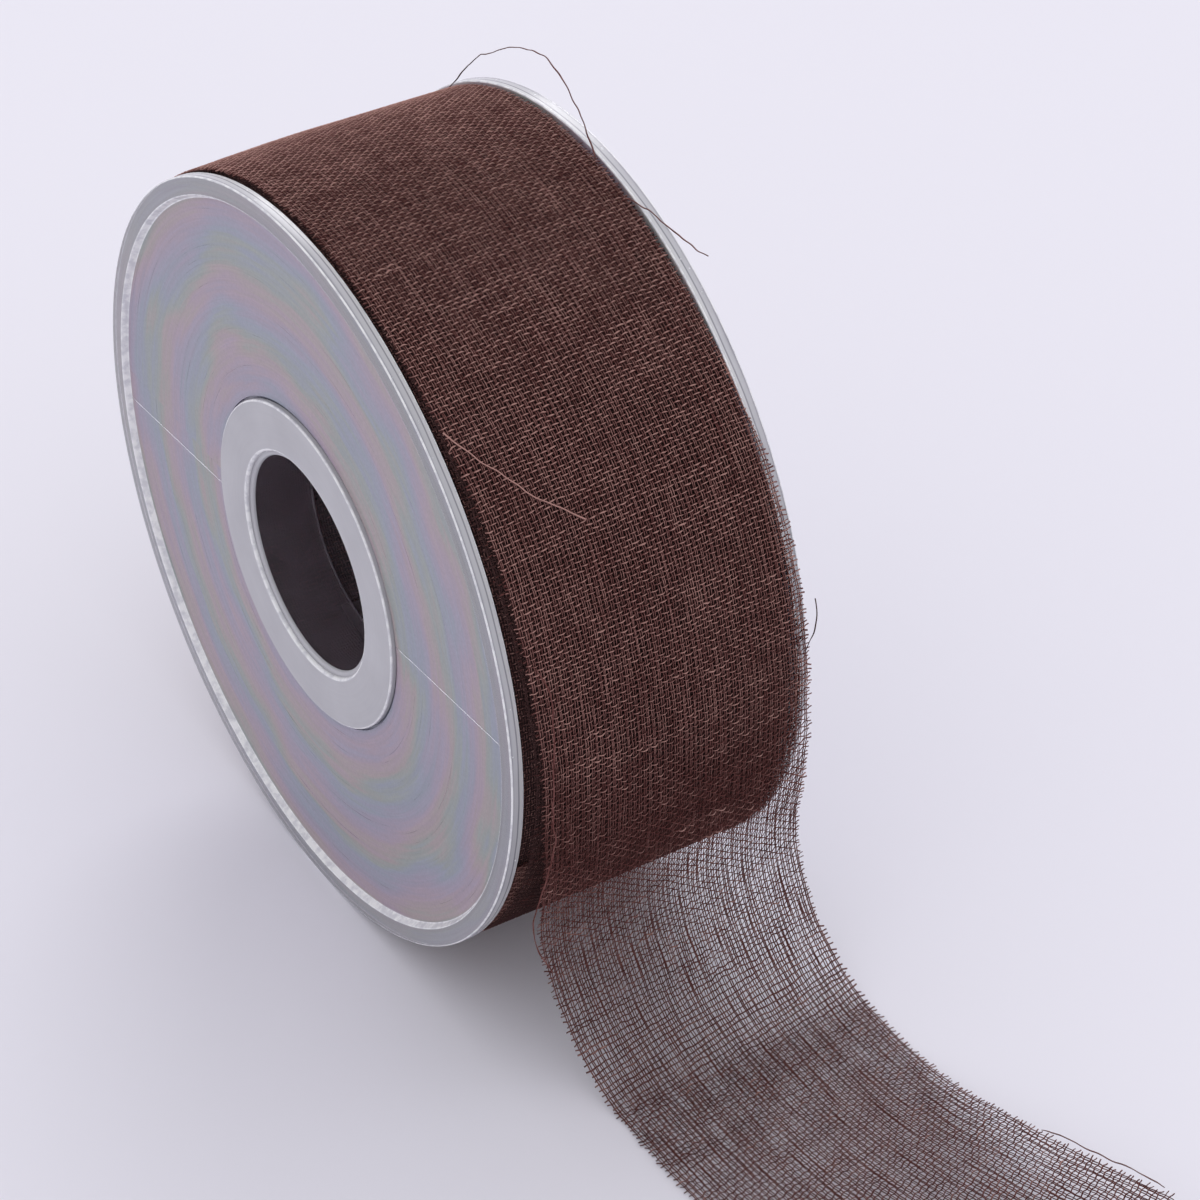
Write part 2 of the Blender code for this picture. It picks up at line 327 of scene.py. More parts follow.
def disc_edge_finish(inner, outer):
    """The rim's round edge: clear, with a painted white highlight at the inner face and painted grey lines
    along the turn for its dark reflections.

    The colour goes by the share of the way from the inner to the outer face, which wavers a little.
    """
    material, tree, place = finish_of("disc_edge_plastic")
    across = maths(tree, "ABSOLUTE", parts_of(tree, place)["Y"])
    share = maths(tree, "DIVIDE", maths(tree, "SUBTRACT", across, inner), outer - inner)
    nicks = noise(tree, place, 900.0, 3.0, 0.65)
    waver = noise(tree, place, 60.0, 2.0)
    share = maths(tree, "MULTIPLY_ADD", waver, 0.3, maths(tree, "SUBTRACT", share, 0.15))
    return finished(
        material,
        # Painted highlight at the inner face and painted dark reflection lines across the clear edge
        Base_Color=ramp(
            tree,
            share,
            (0.30, (0.95, 0.95, 0.97)),
            (0.38, (0.34, 0.33, 0.38)),
            (0.48, (0.86, 0.86, 0.90)),
            (0.72, (0.82, 0.82, 0.87)),
            (0.90, (0.46, 0.45, 0.51)),
        ),
        Roughness=between(tree, nicks, 0.12, 0.34),
        Transmission_Weight=0.45,
        IOR=PLASTIC_IOR,
    )


def disc_corner_finish():
    """The rim's and lip's corners, where light from inside the clear disc comes out as white lines."""
    material, tree, place = finish_of("disc_corner_plastic")
    wear = noise(tree, place, 800.0, 3.0)
    return finished(
        material,
        Base_Color=ramp(tree, wear, (0.38, (0.74, 0.74, 0.79)), (0.58, (0.97, 0.97, 0.99))),
        Roughness=between(tree, wear, 0.05, 0.2),
        Transmission_Weight=0.15,
        IOR=PLASTIC_IOR,
    )


def joined(stretches):
    """Outline of (slot, slot after, points) stretches, and the slot of each of its lines.

    The slot after is that of the line which leads on from a stretch's last point.
    """
    outline = np.vstack([points for _, _, points in stretches])
    slots = [[slot] * (len(points) - 1) + [after] for slot, after, points in stretches]
    return outline, np.concatenate(slots)


def disc_outline(radius, inner, outer):
    """Half section of a disc between its inner face and its lip, with its slots.

    Slot 0 is the web, slot 1 the polished lip, slot 2 the corners and slot 3 the rim's edge.
    """
    face = inner + DISC_WEB
    lip = radius - LIP_WIDTH
    hole = tube_bore + HOLE_CLEARANCE
    stretches = (
        (0, 0, [(hole, inner + SEAT_FLOOR), (hole, inner)]),
        (2, 3, arc((radius - RIM_ROUND, inner + RIM_ROUND), RIM_ROUND, -90, 0)),
        (2, 1, arc((radius - RIM_ROUND, outer - RIM_ROUND), RIM_ROUND, 0, 90)),
        (2, 2, arc((lip + LIP_FILLET, outer - LIP_FILLET), LIP_FILLET, 90, 160)),
        (2, 0, arc((lip - LIP_DRAFT - LIP_FILLET, face + LIP_FILLET), LIP_FILLET, -20, -90)),
        (0, 0, [(SEAT_RADIUS, face), (SEAT_RADIUS, inner + SEAT_FLOOR)]),
    )
    return joined(stretches)


def weld_line(side, face, start, end, turn):
    """A low ridge with three faces, along the radius from start to end, at a turn in degrees."""
    half, sunk = WELD_LINE_WIDTH / 2, WELD_LINE_SUNK * WELD_LINE_HEIGHT
    angle = math.radians(turn)
    along = np.array([math.cos(angle), 0.0, math.sin(angle)])
    across = np.array([-along[2], 0.0, along[0]])
    out = np.array([0.0, side, 0.0])
    section = [-half * across - sunk * out, WELD_LINE_HEIGHT * out, half * across - sunk * out]
    reach = np.linspace(start, end, WELD_LINE_STEPS)
    points = reach[:, None, None] * along + np.array(section) + face * out
    rings = np.arange(WELD_LINE_STEPS - 1)
    quads = ring_quads(rings, rings + 1, 3)
    last = 3 * len(rings)
    caps = np.array([[2, 1, 0], [last, last + 1, last + 2]])
    if side > 0:
        quads, caps = quads[:, ::-1], caps[:, ::-1]
    return points.reshape(-1, 3), quads, caps


def join_into(piece, others):
    """Joins other objects into a piece."""
    chosen = [piece, *others]
    with bpy.context.temp_override(
        active_object=piece, object=piece, selected_objects=chosen, selected_editable_objects=chosen
    ):
        bpy.ops.object.join()


disc_rim_plastic = disc_rim_finish()
disc_corner_plastic = disc_corner_finish()
rim_start, rim_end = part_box("far_disc")
rim_edge_plastic = disc_edge_finish(rim_start.y, rim_end.y)
disc_finishes = (disc_web_finish(), disc_rim_plastic, disc_corner_plastic, rim_edge_plastic)
for side_name, side in SIDES:
    node = f"{side_name}_disc"
    low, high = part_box(node)
    disc_radius = high.z
    inner_face, lip_face = sorted((abs(low.y), abs(high.y)))
    outline, slots = disc_outline(disc_radius, inner_face, lip_face)
    disc = turned(f"{node}_clear", outline, DISC_TURN_STEPS, disc_finishes, side, slots)
    reach = (SEAT_RADIUS + WELD_LINE_GAP, disc_radius - LIP_WIDTH - LIP_DRAFT)
    ridges = []
    for turn in (WELD_LINE_TILT, WELD_LINE_TILT + 180):
        points, quads, caps = weld_line(side, inner_face + DISC_WEB, *reach, turn)
        ridges.append(put_mesh(f"{node}_weld_{turn:.0f}", points, quads, [disc_rim_plastic], [caps]))
    join_into(disc, ridges)
    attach(disc, "spool")
    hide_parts(node)

# Bushes: two frosted mouldings, each a flat collar seated in the disc and a clear spigot that plugs
# into the core tube. The mouth of the bore is rounded in two small steps.
COLLAR_THICKNESS = 0.8 * MM
COLLAR_EDGE_ROUND = 0.25 * MM
BORE_RADIUS = 15.15 * MM
SPIGOT_RADIUS = 16.35 * MM
SPIGOT_CHAMFER = 0.3 * MM
MOUTH_ROUND = 0.45 * MM
MOUTH_LEDGE = 0.3 * MM
MOUTH_STEP = 0.15 * MM


def frosted_finish():
    """Etched plastic: pale grey, matt, with a fine grain and a few rubbed marks round the bore."""
    material, tree, place = finish_of("frosted_bush_plastic")
    grain = noise(tree, place, 5200.0, 2.0)
    cloud = noise(tree, place, 120.0, 4.0)
    rubs = tool_marks(tree, place, 2400.0)["Lines"]
    shade = maths(tree, "MULTIPLY_ADD", cloud, 0.7, maths(tree, "MULTIPLY", rubs, 0.3))
    return finished(
        material,
        Base_Color=ramp(tree, shade, (0.3, (0.475, 0.47, 0.505)), (0.7, (0.57, 0.565, 0.60))),
        Roughness=between(tree, cloud, 0.36, 0.56),
        Transmission_Weight=0.1,
        IOR=PLASTIC_IOR,
        Normal=bump(tree, grain, 0.012 * MM),
    )


def bush_outline(collar_radius, face, end):
    """Half section of a bush from its collar's face to the spigot's end, with its slots.

    Slot 0 is the frosted collar, slot 1 the clear spigot and bore and slot 2 the collar's corners.
    """
    under = face - COLLAR_THICKNESS
    ledge = BORE_RADIUS + MOUTH_ROUND
    mouth = ledge + MOUTH_LEDGE
    ledge_depth = face - MOUTH_ROUND - MOUTH_STEP
    corner = (collar_radius - COLLAR_EDGE_ROUND, face - COLLAR_EDGE_ROUND)
    chamfer = [(SPIGOT_RADIUS - SPIGOT_CHAMFER, end), (SPIGOT_RADIUS, end + SPIGOT_CHAMFER)]
    stretches = (
        (0, 0, [(SPIGOT_RADIUS, under), (collar_radius, under)]),
        (2, 0, arc(corner, COLLAR_EDGE_ROUND, 0, 90)),
        (2, 0, arc((mouth + MOUTH_ROUND, face - MOUTH_ROUND), MOUTH_ROUND, 90, 180)),
        (0, 0, [(mouth, ledge_depth)]),
        (0, 1, arc((ledge, ledge_depth - MOUTH_ROUND), MOUTH_ROUND, 90, 180)),
        (1, 1, [(BORE_RADIUS, end), *chamfer]),
    )
    return joined(stretches)


bush_finishes = (frosted_finish(), clear_tube_plastic, disc_corner_plastic)
for side_name, side in SIDES:
    node = f"{side_name}_bush"
    low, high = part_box(node)
    spigot_end, collar_face = sorted((abs(low.y), abs(high.y)))
    outline, slots = bush_outline(high.z, collar_face, spigot_end)
    bush = turned(f"{node}_frosted", outline, HUB_TURN_STEPS, bush_finishes, side, slots)
    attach(bush, "spool")
    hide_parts(node)

# Start tab: a short piece of adhesive film that holds the ribbon's inner end to the core tube.
# It lies under the first turn, so its solid stays and only gets its finish.


def tab_finish():
    """Clear yellowish film with a faint lengthwise grain and cloudy adhesive."""
    material, tree, place = finish_of("tab_film")
    cloud = noise(tree, place, 420.0, 4.0)
    grain = noise(tree, stretched(tree, place, (1.0, 0.08, 1.0)), 3000.0, 2.0)
    return finished(
        material,
        Base_Color=ramp(tree, cloud, (0.3, (0.62, 0.58, 0.46)), (0.7, (0.76, 0.73, 0.63))),
        Roughness=between(tree, cloud, 0.2, 0.4),
        Transmission_Weight=0.92,
        Normal=bump(tree, grain, 0.02 * MM),
    )


tab_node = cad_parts["start_tab"]
tab_node.data.materials.clear()
tab_node.data.materials.append(tab_finish())

# Ribbon winding: about ninety layers of brown gauze wound tight on the tube. Its rim shows the weave of
# the layer on top, its sides the edges of all layers, and its bore the first layer through the tube.
RIBBON_WIDTH = 40.0 * MM
WARP_PITCH = 0.385 * MM
WEFT_PITCH = 0.63 * MM
EDGE_STEPS = 42
EDGE_PLAY = 0.12 * MM
WINDING_GAP = 0.9 * MM
WINDING_TURN_STEPS = 240
PIT_BROWN = (0.026, 0.0120, 0.0125)
DEEP_BROWN = (0.050, 0.0200, 0.0195)
YARN_BROWN = (0.155, 0.0665, 0.0625)
LIGHT_BROWN = (0.43, 0.245, 0.215)
rng = np.random.default_rng(5)


def wound_weave_group():
    """Height and thread tone of half-basket weave, from distances along and across the ribbon.

    A thread's height is 1 less the square of the distance from its middle. A weft rides over a pair of
    warps and under the next, and the next weft the other way about. The higher thread is what shows.
    """
    inputs = {"Along": "Float", "Across": "Float"}
    group, given, out = new_group("wound_weave", inputs, ("Height", "Tone"))
    calc = functools.partial(maths, group)
    along, across = given["Along"], given["Across"]
    flat = add(group, "CombineXYZ", {"X": along, "Y": across}).outputs["Vector"]
    pull = calc("MULTIPLY", noise(group, flat, 480.0, 3.0), 1.6)
    lean = calc("MULTIPLY", noise(group, flat, 210.0, 2.0), 2.2)
    warps = calc("MULTIPLY_ADD", across, 1 / WARP_PITCH, pull)
    wefts = calc("MULTIPLY_ADD", along, 1 / WEFT_PITCH, lean)

    def thread(count, half_width):
        off = calc("ABSOLUTE", calc("SUBTRACT", calc("FRACT", count), 0.5))
        share = calc("POWER", calc("DIVIDE", off, half_width), 2.0)
        return calc("MAXIMUM", calc("SUBTRACT", 1.0, share), 0.0)

    weft_number = calc("FLOOR", wefts)
    side = calc("MULTIPLY_ADD", calc("PINGPONG", weft_number, 1.0), -2.0, 1.0)
    over = calc("MULTIPLY", calc("SINE", calc("MULTIPLY", warps, math.pi / 2)), side)
    weft_height = calc("MULTIPLY", thread(wefts, 0.2), between(group, over, 0.62, 1.0))
    warp_height = calc("MULTIPLY", thread(warps, 0.32), between(group, over, 0.62, 0.3))
    height = calc("MAXIMUM", weft_height, warp_height)
    crossing = add(group, "CombineXYZ", {"X": weft_number, "Y": calc("FLOOR", warps)}).outputs["Vector"]
    tone = add(group, "TexWhiteNoise", {"Vector": crossing}, noise_dimensions="2D").outputs["Value"]
    group.links.new(height, out["Height"])
    group.links.new(tone, out["Tone"])
    return group


wound_weave = wound_weave_group()


def wound_face_finish(name, radius):
    """Gauze over gauze on a round of that radius, with painted shade in the pits and painted light on the
    raised threads.
    """
    material, tree, place = finish_of(name)
    parts = parts_of(tree, place)
    along = maths(tree, "MULTIPLY", maths(tree, "ARCTAN2", parts["Z"], parts["X"]), radius)
    weave = add(tree, "Group", {"Along": along, "Across": parts["Y"]}, node_tree=wound_weave).outputs
    fibre = noise(tree, place, 9000.0, 2.0)
    # Painted shade in the pits and painted light on the raised threads, from the weave's height
    painted_relief_shading = maths(tree, "MULTIPLY", weave["Height"], between(tree, weave["Tone"], 0.75, 1.15))
    shade = maths(tree, "MULTIPLY_ADD", fibre, 0.16, maths(tree, "SUBTRACT", painted_relief_shading, 0.08))
    browns = (0.05, PIT_BROWN), (0.4, DEEP_BROWN), (0.75, YARN_BROWN), (1.0, LIGHT_BROWN)
    return finished(
        material,
        Base_Color=ramp(tree, shade, *browns),
        Roughness=between(tree, fibre, 0.8, 0.95),
        Specular_IOR_Level=0.2,
        Normal=bump(tree, weave["Height"], 0.16 * MM),
    )


def wound_edge_finish():
    """The cut edges of the layers: dark brown rings with a little fray."""
    material, tree, place = finish_of("wound_edges")
    rings = tool_marks(tree, place, 3000.0)["Lines"]
    fray = noise(tree, place, 3600.0, 3.0)
    shade = maths(tree, "MULTIPLY_ADD", rings, 0.6, maths(tree, "MULTIPLY", fray, 0.4))
    return finished(
        material,
        Base_Color=ramp(tree, shade, (0.3, PIT_BROWN), (0.5, DEEP_BROWN), (0.75, YARN_BROWN)),
        Roughness=between(tree, fray, 0.8, 0.95),
        Specular_IOR_Level=0.2,
        Normal=bump(tree, shade, 0.1 * MM),
    )


def layered_side(inner, outer):
    """Edge line of the layers from inside out: a step for about two layers, each a little out of true."""
    radius = np.repeat(np.linspace(inner, outer, EDGE_STEPS + 1), 2)[1:-1]
    depth = np.repeat(RIBBON_WIDTH / 2 - EDGE_PLAY * rng.random(EDGE_STEPS), 2)
    return np.stack([radius, depth], axis=1)


winding_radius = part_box("ribbon_winding")[1].z
winding_bore = tube_radius + WINDING_GAP
far_side = layered_side(winding_bore, winding_radius)
near_side = layered_side(winding_bore, winding_radius) * (1, -1)
winding_outline = np.vstack([near_side, far_side[::-1]])
winding_slots = np.full(len(winding_outline), 1)
winding_slots[[len(near_side) - 1, -1]] = 0, 2
wound_rim = wound_face_finish("wound_rim", winding_radius)
wound_bore = wound_face_finish("wound_bore", winding_bore)
wound = (wound_rim, wound_edge_finish(), wound_bore)
winding = turned("ribbon_winding_gauze", winding_outline, WINDING_TURN_STEPS, wound, slots=winding_slots)
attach(winding, "spool")
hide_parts("ribbon_winding")

# Ribbon outer turn: the last turn of gauze, worked loose, so that it swells over the rims at the top and
# stands off at the front, with the turn under it following close behind. Both are woven here thread by
# thread, with cut edges that fray a little.
DISC_RADIUS = 54.0 * MM
RIBBON_THICKNESS = 0.4 * MM
TURN_TIGHT_RADIUS = 53.5 * MM
TURN_OVER_RIM_RADIUS = 54.5 * MM
TURN_STAND_OFF = 1.8 * MM
TURN_START_ANGLE = 345.0
TURN_SWELL_ANGLE = 215.0
TURN_OVER_RIM_ANGLE = 75.0
TURN_LEAVE_ANGLE = 2.0
SIDE_DRIFT = 1.0 * MM
SIDE_DRIFT_END_ANGLE = 30.0
EDGE_FLARE = 2.0 * MM
FLARE_RISE = 0.9 * MM
FAR_EDGE_ANGLES = (15.0, 65.0)
UNDER_START_ANGLE = 200.0
UNDER_END_ANGLE = -60.0
UNDER_FALL_ANGLE = 4.0
UNDER_DEPTH = 0.36 * MM
UNDER_ON_WINDING = 0.2 * MM
ROUTE_STEP = 0.1 * MM
# The hanging stretch: share of the drop, stand-off in front of the rim, shift along the axis
TAIL_HANG = (
    (0.14, 2.4, 1.0), (0.25, 2.0, 1.1), (0.36, 0.9, 1.4), (0.47, -0.7, 2.0), (0.58, -1.8, 2.9),
    (0.68, -2.0, 4.0), (0.79, -1.2, 5.3), (0.89, 0.8, 6.5), (0.96, 4.3, 7.3),
)
# The stretch on the table: run in front of the rim, shift along the axis
TAIL_LAY = (
    (9.5, 7.6), (16.0, 7.6), (26.0, 7.8), (36.0, 8.8),
    (46.0, 10.6), (56.0, 12.8), (66.0, 15.2), (74.0, 17.2),
)
TAIL_TABLE_GAP = 0.3 * MM
TAIL_ON_TABLE = -disc_radius + TAIL_TABLE_GAP
TAIL_TURN_ANGLE = 13.0
TAIL_TURN_RUN = (20.0 * MM, 50.0 * MM)
TAIL_EDGE_LIFT = 9.0 * MM
TAIL_LIFT_RUN = (18.0 * MM, 74.0 * MM)
TAIL_LIFT_POWER = 1.2
WIDTH_LIFT_POWER = 1.5
NORMAL_STEP = 0.2 * MM

WARP_COUNT = 104
SELVEDGE = 0.3 * MM
# The yarns: radius, rise at a crossing, share of slubs, painted light on the crowns
WARP_YARN = (0.096 * MM, 0.07 * MM, 0.2, 0.16)
WEFT_YARN = (0.116 * MM, 0.16 * MM, 0.8, 0.40)
YARN_FLATNESS = 0.62
YARN_SIDES = 3
YARN_REST = 0.14 * MM
END_MARGIN = 0.02
END_FACE_SIZE = 0.4
SHADED_BROWN = (0.039, 0.0185, 0.0190)
FINE_YARN_BROWN = (0.082, 0.0190, 0.0170)
SHEEN_BROWN = (0.9, 0.5, 0.44)
PAIR_PULL = 0.05 * MM
WEFT_PAIR_PULL = 0.02 * MM
TAIL_WEFT_PITCH = 0.77 * MM
WEFT_SKEW = 0.06
TAIL_WEFT_SKEW = 0.15
SLACKENING_RUN = 16.0 * MM
UNDER_STIR = 1.5
TAIL_STIR = 0.8
TAIL_PAIRING = 0.1
# Painted shade in the yarn's tone: warps a little darker than wefts, the turn beneath much darker, the
# creases at a thread's sides and the threads where the ribbon hangs darker. Painted crown light fades where
# the ribbon hangs or stands upright.
WARP_SHADE = 0.06
UNDER_SHADE = 0.9
CREASE_SHADE = 0.4
TAIL_SHADE = 0.16
TAIL_CROWN_LOSS = 0.75
UPRIGHT_CROWN_LOSS = 0.45
FACING_UP = (0.1, 0.9)
NEAR_FRAY = (0.25 * MM, 0.75 * MM)
FAR_FRAY = (0.3 * MM, 0.8 * MM)
END_FRAY = (0.4 * MM, 1.6 * MM)
FRAY_LEAN = 0.14 * MM
END_STRAY = 0.12 * MM
FRAY_STEPS = 2
# Random drift of the crossings: reach in warps and wefts, spread
WARP_JOSTLE = (1.0, 4.0), 0.05 * MM
WARP_WANDER = (4.0, 8.0), 0.02 * MM
WEFT_JOSTLE = (2.5, 1.0), 0.06 * MM
WEFT_WANDER = (14.0, 2.0), 0.06 * MM
SLACK = (26.0, 16.0), 0.06 * MM
# Random drift along the yarns: reach in threads and crossings, spread
SLUB_DRIFT = (1.0, 4.0), 1.0
GIRTH_DRIFT = (1.0, 4.0), 0.12
SHADE_DRIFT = (1.0, 9.0), 1.4
FLECK_DRIFT = (1.0, 1.3), 0.08
SLUB_START = 1.6
SLUB_GIRTH = 0.4
SLUB_LIGHT = 0.5
THREAD_GIRTH = 0.04
GIRTH_LIMITS = (0.6, 1.4)
YARN_TONE = 0.36
EVEN_YARN_SHADE = 0.015
SLUB_YARN_SHADE = 0.05


def smooth_step(value, low, high):
    """0 below low, 1 above high, and an even S between them."""
    share = np.clip((value - low) / (high - low), 0.0, 1.0)
    return share * share * (3.0 - 2.0 * share)


def turn_radius(angle):
    """Radius of the outer turn at angles measured up from the front.

    It is tight on the winding round the bottom and back, swells until it clears the rims near the top,
    then stands off by the square of the share of angle left.
    """
    swell = smooth_step(-angle, -TURN_SWELL_ANGLE, -TURN_OVER_RIM_ANGLE)
    free = np.maximum(TURN_OVER_RIM_ANGLE - angle, 0.0) / (TURN_OVER_RIM_ANGLE - TURN_LEAVE_ANGLE)
    return TURN_TIGHT_RADIUS + (TURN_OVER_RIM_RADIUS - TURN_TIGHT_RADIUS) * swell + TURN_STAND_OFF * free**2


def under_radius(angle):
    """Radius of the turn beneath: a yarn's depth inside the outer one, then back down on the winding."""
    rest = winding_radius + UNDER_ON_WINDING
    close = turn_radius(np.maximum(angle, TURN_LEAVE_ANGLE)) - UNDER_DEPTH
    return rest + (np.maximum(close, rest) - rest) * smooth_step(angle, UNDER_END_ANGLE, UNDER_FALL_ANGLE)


def round_line(angle, radius, shift=0.0):
    """Points at angles and radii round the axis, shifted along it."""
    turn = np.radians(angle)
    return np.stack([radius * np.cos(turn), shift + np.zeros(len(angle)), radius * np.sin(turn)], axis=1)


def spread_angles(start, end):
    """Angles from start to end, a route's step apart on the rim."""
    return np.linspace(start, end, int(abs(math.radians(start - end)) * DISC_RADIUS / ROUTE_STEP))


def run_along(points):
    """Distance along a line of points, from its first one."""
    return np.concatenate([[0.0], np.cumsum(np.linalg.norm(np.diff(points, axis=0), axis=1))])


def smooth_route(points, spacing):
    """Evenly spread points on Hermite cubics, whose slopes at each point come from its neighbours."""
    points = np.asarray(points, float)
    run = run_along(points)
    slopes = np.gradient(points, run, axis=0)
    wanted = np.linspace(0.0, run[-1], int(round(run[-1] / spacing)) + 1)
    span = np.clip(np.searchsorted(run, wanted, side="right") - 1, 0, len(run) - 2)
    length = (run[span + 1] - run[span])[:, None]
    t = (wanted - run[span])[:, None] / length
    return (
        (2 * t**3 - 3 * t**2 + 1) * points[span]
        + (t**3 - 2 * t**2 + t) * slopes[span] * length
        + (3 * t**2 - 2 * t**3) * points[span + 1]
        + (t**3 - t**2) * slopes[span + 1] * length
    )


class Route:
    """A ribbon's middle line, with its heading, its far edge's lift and dip and how slack its weave is."""

    def __init__(self, line, heading=0.0, lift=0.0, slackened=0.0, dip=0.0):
        level = np.zeros(len(line))
        self.line = line
        self.run = run_along(line)
        self.length = self.run[-1]
        self.heading = heading + level
        self.lift = lift + level
        self.slackened = slackened + level
        self.dip = dip + level

    def place(self, along, across):
        """Point of the ribbon: the middle line, plus a step across it, plus its far edge's lift and dip.

        Past the line's end the ribbon goes straight on. The lift grows as a power of the width, and the
        dip, which goes towards the spool's axis, as its square.
        """
        inside = np.clip(along, 0.0, self.length)
        centre = np.stack([np.interp(inside, self.run, self.line[:, k]) for k in range(3)], axis=-1)
        turn = np.interp(inside, self.run, self.heading)
        share = np.clip(across / RIBBON_WIDTH + 0.5, 0.0, None)
        lift = np.interp(inside, self.run, self.lift) * share**WIDTH_LIFT_POWER
        dip = np.interp(inside, self.run, self.dip) * share**2
        centre = centre - unit(centre * (1, 0, 1)) * dip[..., None]
        beyond = np.maximum(along - self.length, 0.0)
        forward = beyond * np.cos(turn) - across * np.sin(turn)
        sideways = beyond * np.sin(turn) + across * np.cos(turn)
        return centre + np.stack([forward, sideways, lift], axis=-1)

    def normal(self, along, across):
        """Outward normal: the cross product of a short step along the ribbon and one across it."""
        step = NORMAL_STEP
        along = np.clip(along, step, self.length - step)
        forward = self.place(along + step, across) - self.place(along - step, across)
        sideways = self.place(along, across + step) - self.place(along, across - step)
        return unit(np.cross(forward, sideways))


def unit(vectors):
    """Vectors of length one."""
    return vectors / np.maximum(np.linalg.norm(vectors, axis=-1, keepdims=True), 1e-12)


def drift(shape, reach, spread):
    """Smooth random field of a given spread: white noise less its waves shorter than a reach in cells."""
    wave = np.fft.rfft2(rng.standard_normal(shape))
    first = np.fft.fftfreq(shape[0])[:, None] * reach[0]
    second = np.fft.rfftfreq(shape[1])[None, :] * reach[1]
    field = np.fft.irfft2(wave * np.exp(-2.0 * math.pi * (first**2 + second**2)), s=shape)
    return spread * (field / field.std())


def spun_yarn(shape, radius, slubs):
    """Radius and shade of spun yarn along threads: uneven, each thread its own, with short light flecks.

    A share of slubs, thicker and lighter lengths, comes where a smooth random field is at its highest.
    """
    slub = slubs * np.clip(drift(shape, *SLUB_DRIFT) - SLUB_START, 0.0, 1.0)
    girth = 1.0 + THREAD_GIRTH * rng.standard_normal((shape[0], 1)) + drift(shape, *GIRTH_DRIFT)
    own_shade = rng.standard_normal((shape[0], 1)) + drift(shape, *SHADE_DRIFT)
    own_shade = (EVEN_YARN_SHADE + SLUB_YARN_SHADE * slubs) * own_shade
    tone = YARN_TONE + own_shade + drift(shape, *FLECK_DRIFT)
    girth = np.clip(girth + SLUB_GIRTH * slub, *GIRTH_LIMITS)
    return radius * girth, np.clip(tone + SLUB_LIGHT * slub, 0.0, 1.0)


